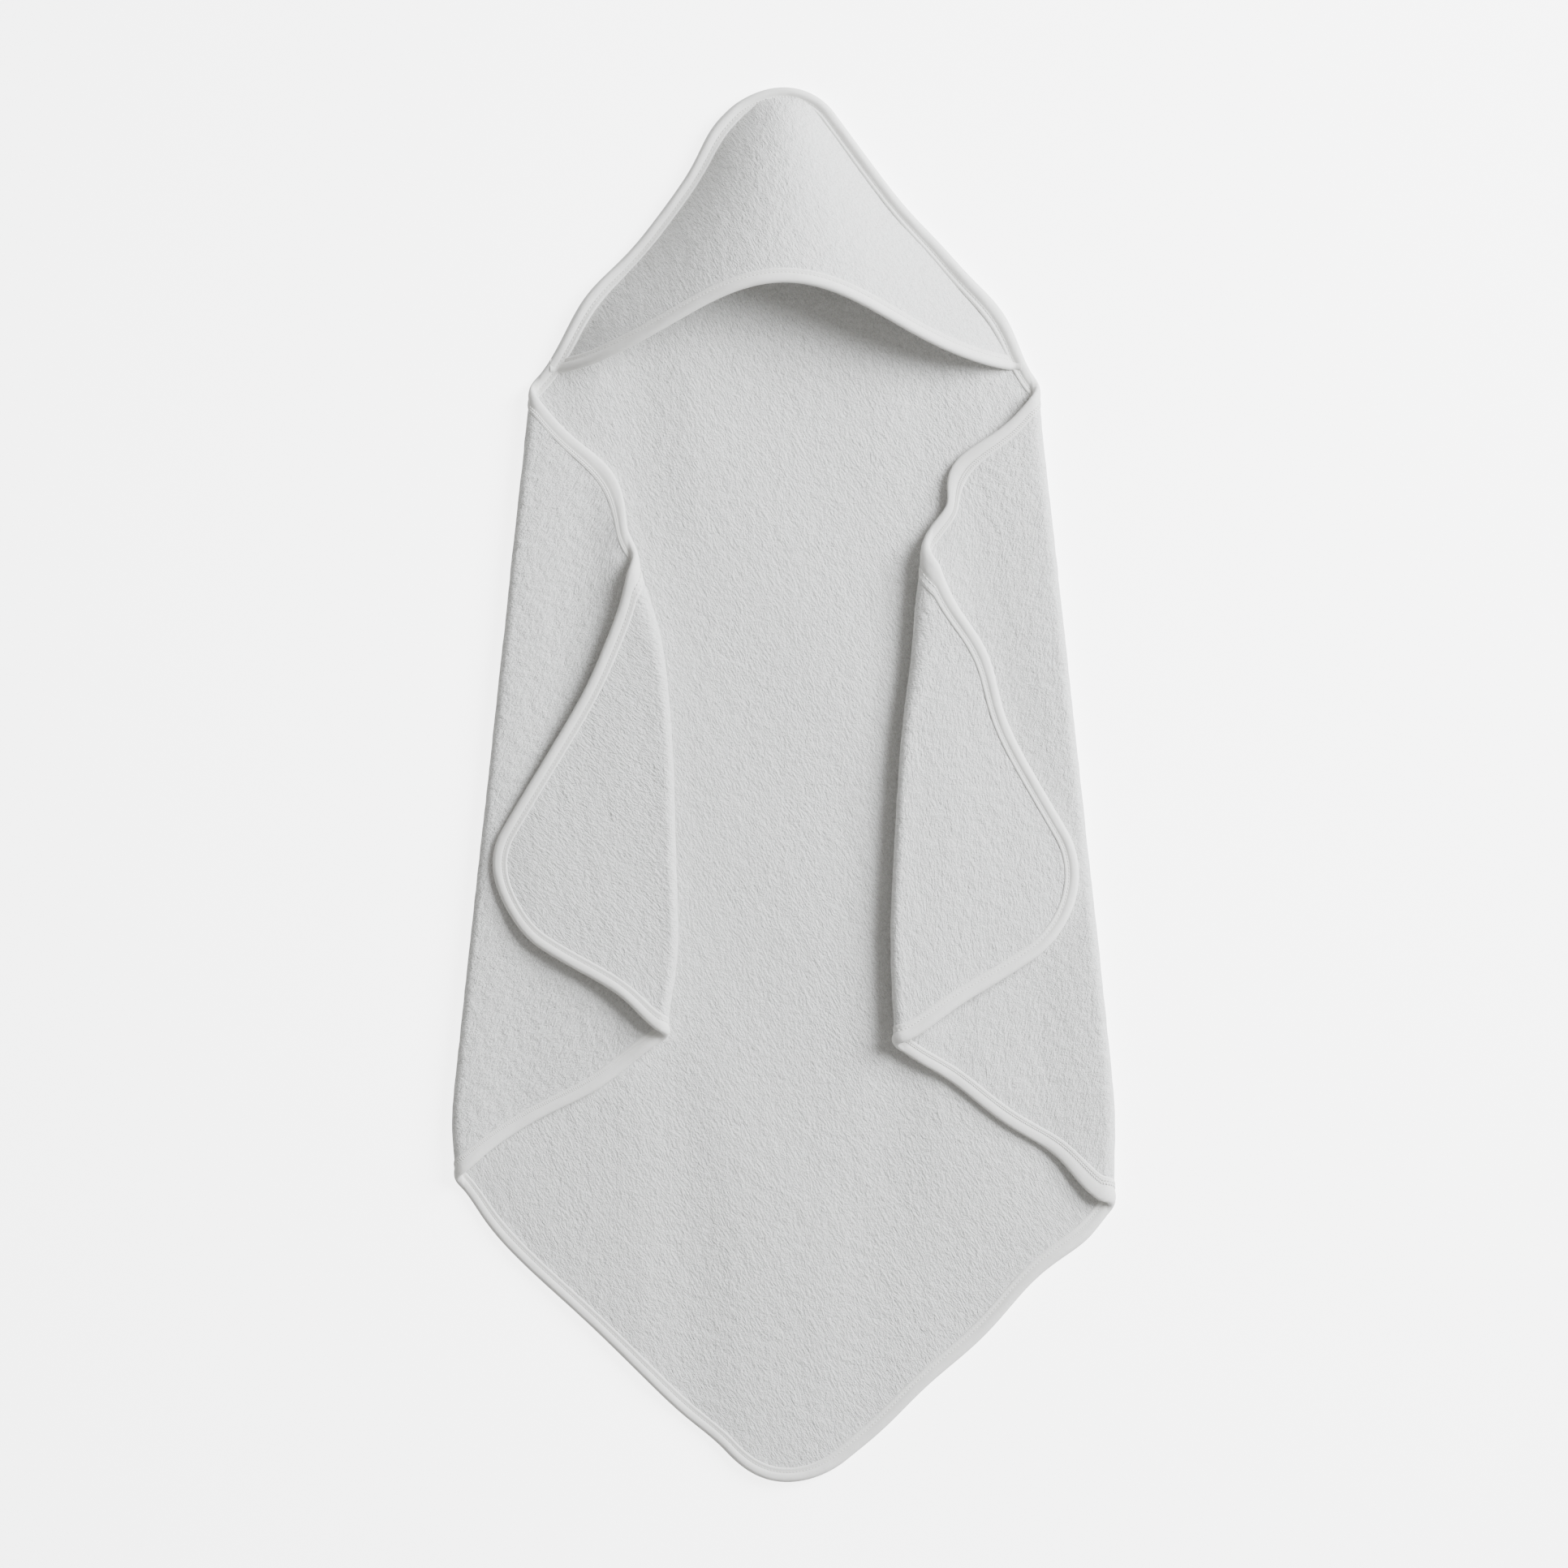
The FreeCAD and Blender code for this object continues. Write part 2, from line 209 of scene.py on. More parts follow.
def inner_line(side):
    """The inner fold as a line on the flat cloth: a point on it and the way past it."""
    outer, inner = OUTER[side], INNER[side]
    past = -inner.outwards
    flat_past = past - 2 * (past @ outer.outwards) * outer.outwards
    shifted = outer.point + math.pi * BEND_RADIUS * outer.outwards
    depth = (shifted - inner.point) @ past
    return outer.point - flat_past * depth, flat_past


def flat_lines(side):
    """Both folds on the flat cloth, as (point, way past)."""
    outer = OUTER[side]
    return [(outer.point, outer.outwards), inner_line(side)]


# Low waves of loose cloth: share of the height, metres a radian across and up, and start.
WAVES = [(0.50, 0.041, 0.090, 0.6), (0.35, 0.083, -0.055, 1.9), (0.30, 0.029, 0.037, 4.0)]
WAVE_HEIGHT = 1.3 * MM
CALM_REACH = 40 * MM  # the waves die out this near to a fold


def ripple(plan):
    """How much low waves lift cloth that lies loosely: never below 0, and nothing at a fold."""
    waves = sum(
        share * np.sin(plan[:, 0] / across + plan[:, 1] / up + start)
        for share, across, up, start in WAVES
    )
    calm = np.ones(len(plan))
    for side in SIDES:
        for fold in (OUTER[side], INNER[side]):
            calm *= ease(np.abs(fold.beyond(plan)) / CALM_REACH)
    return WAVE_HEIGHT * (waves + sum(wave[0] for wave in WAVES)) * calm


# Soft pushes that shape the laid cloth, in mm: the first layer it moves, the place, the shift
# and its reach. Layer 0 is all the cloth, 1 the wings and tips, 2 the tips.
PUSHES = [
    (0, (-143, 350), (-6, 5), 38),
    (0, (-50, 474), (-5, 4), 28),
    (0, (-243, -288), (8, -1), 32),
    (0, (-195, -338), (-1, -4), 60),
    (0, (-45, -482), (2, 4), 32),
    (1, (-122, 226), (10, 8), 36),
    (1, (-90, 162), (-16, 8), 36),
    (1, (-84, 30), (3, 0), 90),
    (1, (-76, -172), (-11, -9), 36),
    (1, (-135, -215), (2, -6), 40),
    (2, (-122, 118), (-6, 0), 40),
    (2, (-205, -95), (5, 4), 40),
    (0, (160, 342), (11, 9), 40),
    (0, (122, 388), (4, 4), 36),
    (0, (238, -292), (-6, -18), 40),
    (0, (214, -330), (8, -5), 36),
    (0, (150, -402), (6, -8), 62),
    (0, (75, -467), (3, -4), 42),
    (1, (130, 229), (-15, 8), 33),
    (1, (95, 176), (7, 16), 36),
    (1, (102, 190), (4, 0), 22),
    (1, (88, 110), (2, 0), 60),
    (1, (82, -176), (7, -15), 45),
    (1, (160, -238), (-2, -15), 60),
    (1, (214, -290), (-7, -8), 32),
    (2, (104, 160), (7, 3), 34),
    (2, (130, 98), (15, 3), 46),
    (2, (150, -140), (0, -10), 60),
]


def pushed(plan, depths):
    """Shift places by the soft pushes; depths hold how far each place is into each layer."""
    moved = plan.copy()
    for layer, place, shift, reach in PUSHES:
        gap = np.linalg.norm(plan - np.array(place) * MM, axis=1) / (reach * MM)
        moved += np.outer(np.exp(-gap * gap) * depths[layer], np.array(shift) * MM)
    return moved


def bend_up(outer, points):
    """Take flat cloth round its outer fold."""
    plan, off = points[:, :2], points[:, 2]
    distance = outer.beyond(plan)
    wide, high = outer.bend(plan)
    along, up, turn, (lean, rise) = roll(distance, wide, high)
    middle = plan + np.outer(along - distance, outer.outwards)
    placed = np.empty_like(points)
    placed[:, :2] = middle - np.outer(off * lean, outer.outwards)
    placed[:, 2] = outer.high - BEND_RADIUS + up + off * rise
    return placed, middle, turn, high


def wing_height(outer, inner, distance, depth, high):
    """How high the middle of a wing lies: it climbs from one bend to the other and sags."""
    from_outer = np.maximum(distance - math.pi * BEND_RADIUS, 0)
    from_inner = np.maximum(-depth, 0)
    share = from_outer / np.maximum(from_outer + from_inner, MM)
    start, end = outer.high - BEND_RADIUS + 2 * high, inner.high - BEND_RADIUS
    level = start + (end - start) * np.where(depth > 0, 1, share)
    return level - SETTLE * ease(from_outer / SETTLE_RUN) * ease(from_inner / SETTLE_RUN)


def bend_back(inner, middle, depth, level, off):
    """Take a wing's cloth, whose middle lies at some level, round its inner fold."""
    wide, high = inner.bend(middle)
    along, up, turn, (lean, rise) = roll(depth, wide, high)
    tip_run = np.maximum(depth - math.pi * BEND_RADIUS, 0)
    sink = TIP_SETTLE * (1 - np.exp(-tip_run * TIP_SLOPE / TIP_SETTLE))
    placed = np.empty((len(middle), 3))
    placed[:, :2] = middle + np.outer(along - depth + off * lean, -inner.outwards)
    placed[:, 2] = level + up - sink - off * rise
    return placed, turn


def lay_side(points, side):
    """Fold one half of the flat cloth into its place."""
    outer, inner = OUTER[side], INNER[side]
    single, middle, turn, high = bend_up(outer, points)
    distance, depth = outer.beyond(points[:, :2]), -inner.beyond(middle)
    level = wing_height(outer, inner, distance, depth, high)
    double, turn_back = bend_back(inner, middle, depth, level, points[:, 2])
    folded = turn >= math.pi
    placed = np.where(folded[:, None], double, single)
    wing, tip = turn / math.pi, np.where(folded, turn_back / math.pi, 0)
    placed[:, :2] = pushed(placed[:, :2], (np.ones(len(points)), wing, tip))
    return placed


def lay(points):
    """Fold the flat cloth into its place on the surface."""
    placed = np.empty_like(points)
    right = points[:, 0] >= 0
    for side, mine in ((1, right), (-1, ~right)):
        if mine.any():
            placed[mine] = lay_side(points[mine], side)
    placed[:, 2] += ripple(placed[:, :2])
    return placed


# ------------------------------------------------------------------ outline


class Corner:
    """One rounded corner of an outline that is walked anticlockwise."""

    def __init__(self, before, here, after, radius):
        back, onwards = (before - here).normalized(), (after - here).normalized()
        half = back.angle(onwards) / 2
        self.centre = here + (back + onwards).normalized() * (radius / math.sin(half))
        self.start = here + back * (radius / math.tan(half))
        self.end = here + onwards * (radius / math.tan(half))
        self.way = 1 if back.cross(onwards) < 0 else -1
        self.swing = math.pi - 2 * half
        self.length = self.swing * radius

    def arc(self, step):
        """Places round the corner, each with its way inwards."""
        path = []
        for k in range(int(self.length / step) + 1):
            turn = Matrix.Rotation(self.way * self.swing * k * step / self.length, 2)
            arm = turn @ (self.start - self.centre)
            path.append((self.centre + arm, arm.normalized() * -self.way))
        return path


def rounded_outline(corners, step=0.5 * MM):
    """Points along a closed outline with rounded corners, and the way inwards at each."""
    places = [Vector((x * MM, y * MM)) for (x, y), _ in corners]
    following = places[1:] + places[:1]
    rounded = [
        Corner(places[i - 1], place, following[i], corners[i][1] * MM)
        for i, place in enumerate(places)
    ]
    path = []
    for corner, after in zip(rounded, rounded[1:] + rounded[:1]):
        path += corner.arc(step)
        straight = after.start - corner.end
        way = straight.normalized()
        for k in range(int(straight.length / step)):
            path.append((corner.end + way * (k * step), Vector((-way.y, way.x))))
    points, inwards = zip(*path)
    return np.array(points, float), np.array(inwards, float)


class Edge:
    """The towel's outline as a path: places by length along it and distance inwards."""

    def __init__(self):
        points, inwards = rounded_outline(CUT)
        steps = np.linalg.norm(np.roll(points, -1, axis=0) - points, axis=1)
        self.length = float(steps.sum())
        self.run = np.concatenate([[0], np.cumsum(steps)])
        self.points = np.vstack([points, points[:1]])
        self.inwards = np.vstack([inwards, inwards[:1]])

    def at(self, run):
        """Place and way inwards at a length along the edge."""
        run = np.mod(run, self.length)
        place = np.stack([np.interp(run, self.run, self.points[:, i]) for i in (0, 1)], 1)
        way = np.stack([np.interp(run, self.run, self.inwards[:, i]) for i in (0, 1)], 1)
        return place, way / np.linalg.norm(way, axis=1)[:, None]

    def flat(self, points):
        """Turn (along, inwards, off) into flat places on the cloth."""
        place, way = self.at(points[:, 0])
        plan = place + way * points[:, 1:2]
        off = points[:, 2].copy()
        two_layers = ease((plan[:, 1] - SECOND_LAYER_LOW) / SECOND_LAYER_RUN)
        off += np.where(off > 0, off * SECOND_LAYER_GAIN * two_layers, 0)
        return np.column_stack([plan, off])


EDGE = Edge()


# ------------------------------------------------------------------ stretches of cloth

ZONES = ["body", "left_wing", "left_tip", "right_wing", "right_tip"]
FLAT_LINES = {side: flat_lines(side) for side in SIDES}


def zone_of(x, y):
    """Which stretch of cloth a flat place belongs to."""
    side = 1 if x >= 0 else -1
    if y > NECK_CUT:
        return "body"
    place = np.array([x, y])
    (outer_point, outer_past), (inner_point, inner_past) = FLAT_LINES[side]
    if (place - inner_point) @ inner_past > -STRIP:
        return f"{SIDES[side]}_tip"
    if (place - outer_point) @ outer_past > -STRIP:
        return f"{SIDES[side]}_wing"
    return "body"


def score(bm):
    """Add mesh lines where the flat cloth bends and where its stretches meet."""
    cuts = [(np.array([0, NECK_CUT]), np.array([0, 1.0]))]
    for lines in FLAT_LINES.values():
        for point, past in lines:
            cuts.append((point - STRIP * past, past))
            for k in range(BEND_STEPS + 1):
                reach = math.pi * BEND_RADIUS * k / BEND_STEPS
                cuts.append((point + reach * past, past))
    for point, past in cuts:
        geometry = bm.verts[:] + bm.edges[:] + bm.faces[:]
        bmesh.ops.bisect_plane(
            bm, geom=geometry, dist=0.02 * MM,
            plane_co=(point[0], point[1], 0), plane_no=(past[0], past[1], 0),
        )


def only_zone(bm, zone):
    """A copy of a scored flat mesh with only one stretch's faces."""
    part = bm.copy()
    others = [
        face for face in part.faces
        if zone_of(*face.calc_center_median()[:2]) != zone
    ]
    bmesh.ops.delete(part, geom=others, context="FACES")
    return part


def close_ends(bm):
    """Cap the open ends of a tube."""
    open_edges = [edge for edge in bm.edges if edge.is_boundary]
    if open_edges:
        sharpen_round(bmesh.ops.holes_fill(bm, edges=open_edges, sides=0)["faces"])


def coordinates(bm):
    """The places of a mesh's points as an array."""
    return np.array([vert.co[:] for vert in bm.verts], float)


def move_points(bm, places):
    """Put a mesh's points at new places."""
    for vert, place in zip(bm.verts, places):
        vert.co = place


def map_cloth(bm, scale=(1.0, 1.0)):
    """Give every face corner the flat place of its point as its place on the cloth's map."""
    layer = bm.loops.layers.uv.verify()
    for face in bm.faces:
        for loop in face.loops:
            loop[layer].uv = (loop.vert.co.x * scale[0], loop.vert.co.y * scale[1])


def sharpen_round(faces):
    """Keep the faces of a cut end from bending the light on the cloth beside them."""
    for face in faces:
        for edge in face.edges:
            edge.smooth = False


def thicken(bm, thickness):
    """Give a flat mesh a wall that stands half to each side of it."""
    bmesh.ops.recalc_face_normals(bm, faces=bm.faces[:])
    bmesh.ops.solidify(bm, geom=bm.faces[:], thickness=thickness)
    heights = [vert.co.z for vert in bm.verts]
    middle = (max(heights) + min(heights)) / 2
    bmesh.ops.translate(bm, verts=bm.verts[:], vec=(0, 0, -middle))
    bmesh.ops.recalc_face_normals(bm, faces=bm.faces[:])
    sharpen_round(face for face in bm.faces if abs(face.normal.z) < 0.5)


CLUMPS = [(0.30, 9 * MM), (0.22, 24 * MM)]  # how high the pile's clumps stand in mm, and size


def pile_relief(places, off):
    """Soft clumps of pile: how far each point of a terry face stands out."""
    relief = np.array([
        sum(high * noise.noise(Vector(place) / size) for high, size in CLUMPS)
        for place in places
    ])
    return off + np.sign(off) * relief * MM


def finish_piece(context, name, bm, material):
    """Make a finished object from a mesh that is in its place."""
    bmesh.ops.recalc_face_normals(bm, faces=bm.faces[:])
    mesh = bpy.data.meshes.new(name)
    bm.to_mesh(mesh)
    bm.free()
    mesh.polygons.foreach_set("use_smooth", [True] * len(mesh.polygons))
    mesh.materials.append(material)
    piece = bpy.data.objects.new(name, mesh)
    context.scene.collection.objects.link(piece)
    return piece


def bend_with(piece, zone):
    """Bake a piece's place into its mesh; every zone is treated alike."""
    if zone == "body":
        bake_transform(piece)
        return
    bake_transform(piece)


PANEL_NODES = {
    "body": ["body_panel", "hood_back_panel"],
    "left_wing": ["left_wing_panel", "left_outer_fold"],
    "left_tip": ["left_tip_panel", "left_inner_fold"],
    "right_wing": ["right_wing_panel", "right_outer_fold"],
    "right_tip": ["right_tip_panel", "right_inner_fold"],
}


def edge_nodes(zone, kind):
    """The frame's nodes that one stretch of binding or stitching stands for."""
    if zone == "body":
        return [f"bottom_{kind}", f"hood_side_{kind}"]
    return [f"{zone}_{kind}"]


# ------------------------------------------------------------------ towel panel


RIM_INSET = 3 * MM  # the terry's rim lies this far inside the binding's outer edge


def trim_to_edge(bm):
    """Cut a flat grid along the towel's edge, its rim hidden in the binding."""
    tree = kdtree.KDTree(len(EDGE.points))
    for index, point in enumerate(EDGE.points):
        tree.insert((point[0], point[1], 0), index)
    tree.balance()
    outside = []
    for vert in bm.verts:
        _, index, _ = tree.find(vert.co)
        gap = (np.array(vert.co[:2]) - EDGE.points[index]) @ EDGE.inwards[index]
        if gap < RIM_INSET:
            outside.append(vert)
    bmesh.ops.delete(bm, geom=outside, context="VERTS")
    for vert in bm.verts:
        if vert.is_boundary:
            _, index, _ = tree.find(vert.co)
            rim = EDGE.points[index] + EDGE.inwards[index] * RIM_INSET
            vert.co = (rim[0], rim[1], 0)


def flat_panel():
    """The cut square of terry as one flat mesh."""
    bm = bmesh.new()
    low, high = EDGE.points.min(axis=0), EDGE.points.max(axis=0)
    columns, rows = (int(round(span / CELL)) for span in high - low)
    bmesh.ops.create_grid(bm, x_segments=columns, y_segments=rows, size=0.5)
    middle = (low + high) / 2
    bmesh.ops.scale(bm, verts=bm.verts[:], vec=(columns * CELL, rows * CELL, 1))
    bmesh.ops.translate(bm, verts=bm.verts[:], vec=(middle[0], middle[1], 0))
    trim_to_edge(bm)
    score(bm)
    map_cloth(bm)
    return bm


class TOWEL_OT_panel(bpy.types.Operator):
    """Build the terry panel, folded, one sheet for each stretch between cuts"""

    bl_idname = "towel.panel"
    bl_label = "Terry Panel"

    def execute(self, context):
        size = settings(context)
        material = terry_material(size)
        flat = flat_panel()
        for zone in ZONES:
            bm = only_zone(flat, zone)
            area = sum(face.calc_area() for face in bm.faces)
            thicken(bm, size.cloth)
            places = coordinates(bm)
            places[:, 2] = pile_relief(places, places[:, 2])
            move_points(bm, lay(places))
            piece = finish_piece(context, f"terry_{zone}", bm, material)
            bend_with(piece, zone)
            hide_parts(*PANEL_NODES[zone])
        flat.free()
        return {"FINISHED"}


# ------------------------------------------------------------------ binding

# The binding cut across, closed: (inwards, off) in mm. A full roll lies along the edge and a
# thinner flange inside it, pinched between them by the stitching.
TAPE_SECTION = [
    (10.5, 1.5), (10.3, 2.2), (9.4, 2.5), (8.3, 2.35), (7.2, 2.15), (6.5, 2.35),
    (5.4, 2.95), (3.8, 3.25), (2.0, 3.0), (0.7, 2.1), (0.0, 0.5), (0.2, -1.0),
    (1.2, -2.0), (3.0, -2.5), (5.0, -2.5), (6.6, -2.1), (7.4, -1.95), (8.6, -2.2),
    (9.8, -2.25), (10.4, -1.9), (10.5, -1.3), (9.6, 0.1),
]


ROLL_MIDDLE = 3.4 * MM  # how far inwards the middle of the full roll lies


def section_at(share, width):
    """A place on the binding's section, by share of the way round it."""
    ring = np.array(TAPE_SECTION + TAPE_SECTION[:1]) * MM
    ring[:, 0] *= width / ring[:, 0].max()
    steps = np.linalg.norm(np.diff(ring, axis=0), axis=1)
    run = np.concatenate([[0], np.cumsum(steps)]) / steps.sum()
    across = np.stack([np.interp(share, run, ring[:, i]) for i in (0, 1)], 1)
    return across, float(steps.sum())


def straight_tape(length, width, step):
    """A straight length of folded binding along X, mapped along it and round its section."""
    bm = bmesh.new()
    around = 2 * len(TAPE_SECTION)
    bmesh.ops.create_grid(bm, x_segments=int(length / step), y_segments=around, size=0.5)
    shares = coordinates(bm)[:, 1] + 0.5
    _, girth = section_at(shares, width)
    map_cloth(bm, scale=(length, girth))
    places = coordinates(bm)
    places[:, 0] = (places[:, 0] + 0.5) * length
    places[:, 1:], _ = section_at(shares, width)
    move_points(bm, places)
    return bm


def pucker(places, seed):
    """Small unevenness of a sewn tape along its length."""
    run = places[:, 0]
    swell = np.sin(run / (4.1 * MM) + seed) * 0.5 + np.sin(run / (9.7 * MM) + 2 * seed) * 0.5
    in_roll = ease(1 - np.abs(places[:, 1] - ROLL_MIDDLE) / ROLL_MIDDLE)
    places[:, 2] *= 1 + 0.05 * swell * in_roll
    return places


class TOWEL_OT_edge_binding(bpy.types.Operator):
    """Build the jersey binding round the towel's whole edge"""

    bl_idname = "towel.edge_binding"
    bl_label = "Edge Binding"

    def execute(self, context):
        size = settings(context)
        material = tape_material(size)
        tape = straight_tape(EDGE.length, size.tape_width, 3.5 * MM)
        move_points(tape, EDGE.flat(pucker(coordinates(tape), 0.4)))
        bmesh.ops.remove_doubles(tape, verts=tape.verts[:], dist=0.01 * MM)
        score(tape)
        for zone in ZONES:
            bm = only_zone(tape, zone)
            close_ends(bm)
            move_points(bm, lay(coordinates(bm)))
            piece = finish_piece(context, f"edge_binding_{zone}", bm, material)
            bend_with(piece, zone)
            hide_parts(*edge_nodes(zone, "binding"))
        tape.free()
        return {"FINISHED"}


# ------------------------------------------------------------------ stitching


def first_beads(bm, pitch, shape, at, turns):
    """The first beads of a row along X, one oval for each turn; gives their points."""
    start = len(bm.verts)
    for index, turn in enumerate(turns):
        made = bmesh.ops.create_icosphere(bm, subdivisions=1, radius=0.5)
        oval = Matrix.Rotation(turn, 4, "Z") @ Matrix.Diagonal((*shape, 1.0))
        bmesh.ops.transform(bm, matrix=oval, verts=made["verts"])
        bmesh.ops.translate(bm, verts=made["verts"], vec=(index * pitch, *at))
    bm.verts.ensure_lookup_table()
    return bm.verts[start:]


def bead_row(bm, pitch, count, shape, at, turns):
    """A row of thread beads along X, doubled from its first ones until there are enough."""
    row = first_beads(bm, pitch, shape, at, turns)
    have = len(turns)
    per_bead = len(row) // have
    while have < count:
        extra = min(have, count - have)
        some = row[: extra * per_bead]
        faces = {face for vert in some for face in vert.link_faces}
        ordered = sorted(faces, key=lambda face: face.index)
        edges = {edge for face in ordered for edge in face.edges}
        made = bmesh.ops.duplicate(bm, geom=some + list(edges) + ordered)
        copies = [item for item in made["geom"] if isinstance(item, bmesh.types.BMVert)]
        bmesh.ops.translate(bm, verts=copies, vec=(have * pitch, 0, 0))
        row = row + copies
        have += extra
        bm.faces.index_update()


# The stitching across the binding: how far inwards each row runs, how far off the cloth's
# middle, and how large its beads are. A needle bead is 0.9 of its pitch long.
NEEDLE_INSETS = (7.3 * MM, 9.2 * MM)
NEEDLE_OFF = 2.30 * MM
NEEDLE_BEAD = (0.62 * MM, 0.55 * MM)
LOOPER_ROWS = ((7.6 * MM, 0.5), (8.9 * MM, -0.5))  # inset, and the lean of its beads
LOOPER_OFF = -2.15 * MM
LOOPER_BEAD = (1.55 * MM, 0.85 * MM, 0.7 * MM)


def stitch_rows(size, length):
    """Both needle rows on the inside face and the looper row on the outside face."""
    bm = bmesh.new()
    pitch = size.needle_pitch
    for inset in NEEDLE_INSETS:
        shape = (pitch * 0.9, *NEEDLE_BEAD)
        bead_row(bm, pitch, int(length / pitch), shape, (inset, NEEDLE_OFF), [0.0])
    pitch = size.looper_pitch
    for inset, lean in LOOPER_ROWS:
        turns = [lean, lean * 1.4]
        bead_row(bm, pitch, int(length / pitch), LOOPER_BEAD, (inset, LOOPER_OFF), turns)
    map_cloth(bm)
    return bm


def beads_by_zone(bm):
    """The indices of the faces in each stretch of cloth, every bead whole in one of them."""
    found, seen = {}, set()
    for face in bm.faces:
        if face.index in seen:
            continue
        stack, bead = [face], []
        seen.add(face.index)
        while stack:
            here = stack.pop()
            bead.append(here)
            for edge in here.edges:
                for other in edge.link_faces:
                    if other.index not in seen:
                        seen.add(other.index)
                        stack.append(other)
        middle = sum((f.calc_center_median() for f in bead), Vector()) / len(bead)
        found.setdefault(zone_of(middle.x, middle.y), set()).update(f.index for f in bead)
    return found


class TOWEL_OT_edge_stitching(bpy.types.Operator):
    """Sew the edge binding with two needle rows and a looper row"""

    bl_idname = "towel.edge_stitching"
    bl_label = "Edge Stitching"

    def execute(self, context):
        size = settings(context)
        material = thread_material(size)
        rows = stitch_rows(size, EDGE.length)
        move_points(rows, EDGE.flat(coordinates(rows)))
        rows.faces.index_update()
        owners = beads_by_zone(rows)
        for zone in ZONES:
            bm = rows.copy()
            others = [face for index, face in enumerate(bm.faces) if index not in owners[zone]]
            bmesh.ops.delete(bm, geom=others, context="FACES")
            move_points(bm, lay(coordinates(bm)))
            piece = finish_piece(context, f"edge_stitching_{zone}", bm, material)
            bend_with(piece, zone)
            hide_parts(*edge_nodes(zone, "stitching"))
        rows.free()
        return {"FINISHED"}


# ------------------------------------------------------------------ hood

RIM_HALF = 168 * MM  # half the width of the hood's opening
RIM_LOW = 296 * MM  # where the opening meets the side seams
RIM_RISE = 62 * MM  # how far its arch stands above that, seen from above
SEAM_HIGH = 4.6 * MM  # the hood panel's middle at the side seams
DOME_TOP = 499 * MM  # where the panel ends under the binding
SEAM_INSET = 8 * MM  # how far the panel's sides keep inside the hood's cut sides
SEAM_MARGIN = 4.5 * MM  # how much of the panel lies flat along its seams
FLANK = 0.55  # how steeply the dome rises from its seams, 1 for evenly
NARROWED = 0.985  # the share of the opening that the terry takes up, inside its binding
ROW_INSET = 0.012  # the share of the depth that the binding covers at each end


def rim_up(across):
    """How far up the opening's edge is, seen from above."""
    return RIM_LOW + RIM_RISE * (0.5 + 0.5 * np.cos(math.pi * across / RIM_HALF))


def seam_half(up):
    """Half the hood's width between its side seams."""
    return (HOOD_TOP - up) * HOOD_SLOPE - SEAM_INSET


def dome(share, depth, rise):
    """The hood panel's middle surface: share across it and depth from rim to top, 0 to 1."""
    across = share * RIM_HALF
    rim = rim_up(across)
    lane = across / seam_half(rim)
    up = rim + (DOME_TOP - rim) * depth
    x = lane * seam_half(up)
    swell_top = DOME_TOP - SEAM_MARGIN
    closing = np.maximum(swell_top - up, 0) / (swell_top - RIM_LOW - RIM_RISE)
    swell = np.abs(x) / np.maximum(seam_half(up) - SEAM_MARGIN, MM)
    crown = np.maximum(1 - swell ** 2, 0)
    z = SEAM_HIGH + rise * closing ** FLANK * crown
    depths = np.zeros((3, len(x)))
    depths[0] = 1
    return np.column_stack([pushed(np.column_stack([x, up]), depths), z])


def dome_normal(share, depth, rise):
    """The way out of the dome at each place."""
    step = 0.004
    across = dome(share + step, depth, rise) - dome(share - step, depth, rise)
    upwards = dome(share, depth + step, rise) - dome(share, depth - step, rise)
    normal = np.cross(across, upwards)
    return normal / np.linalg.norm(normal, axis=1)[:, None]


class Rim:
    """The hood's open edge as a path over the dome."""

    def __init__(self, rise):
        share = np.linspace(-1, 1, 801)
        self.points = dome(share, np.zeros_like(share), rise)
        outwards = dome_normal(share * NARROWED, np.full_like(share, ROW_INSET), rise)
        along = np.gradient(self.points, axis=0)
        along /= np.linalg.norm(along, axis=1)[:, None]
        inwards = np.cross(outwards, along)
        self.inwards = inwards / np.linalg.norm(inwards, axis=1)[:, None]
        self.outwards = np.cross(along, self.inwards)
        steps = np.linalg.norm(np.diff(self.points, axis=0), axis=1)
        self.run = np.concatenate([[0], np.cumsum(steps)])
        self.length = float(self.run[-1])

    def at(self, points):
        """Turn (along, inwards, off) into places on the dome."""
        def read(values):
            return np.stack([np.interp(points[:, 0], self.run, values[:, i]) for i in range(3)], 1)
        inwards = read(self.inwards) * points[:, 1:2]
        return read(self.points) + inwards + read(self.outwards) * points[:, 2:3]


class TOWEL_OT_hood_binding(bpy.types.Operator):
    """Build the binding round the hood's arched opening"""

    bl_idname = "towel.hood_binding"
    bl_label = "Hood Binding"

    def execute(self, context):
        size = settings(context)
        rim = Rim(size.dome_rise)
        tape = straight_tape(rim.length, size.tape_width, 3.0 * MM)
        bmesh.ops.remove_doubles(tape, verts=tape.verts[:], dist=0.01 * MM)
        move_points(tape, rim.at(pucker(coordinates(tape), 1.7)))
        close_ends(tape)
        piece = finish_piece(context, "hood_opening_tape", tape, tape_material(size))
        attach(piece, "hood")
        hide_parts("hood_opening_binding")
        return {"FINISHED"}


class TOWEL_OT_hood_stitching(bpy.types.Operator):
    """Sew the hood's binding with two needle rows and a looper row"""

    bl_idname = "towel.hood_stitching"
    bl_label = "Hood Stitching"

    def execute(self, context):
        size = settings(context)
        rim = Rim(size.dome_rise)
        rows = stitch_rows(size, rim.length)
        move_points(rows, rim.at(coordinates(rows)))
        material = thread_material(size)
        piece = finish_piece(context, "hood_opening_threads", rows, material)
        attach(piece, "hood")
        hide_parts("hood_opening_stitching")
        return {"FINISHED"}


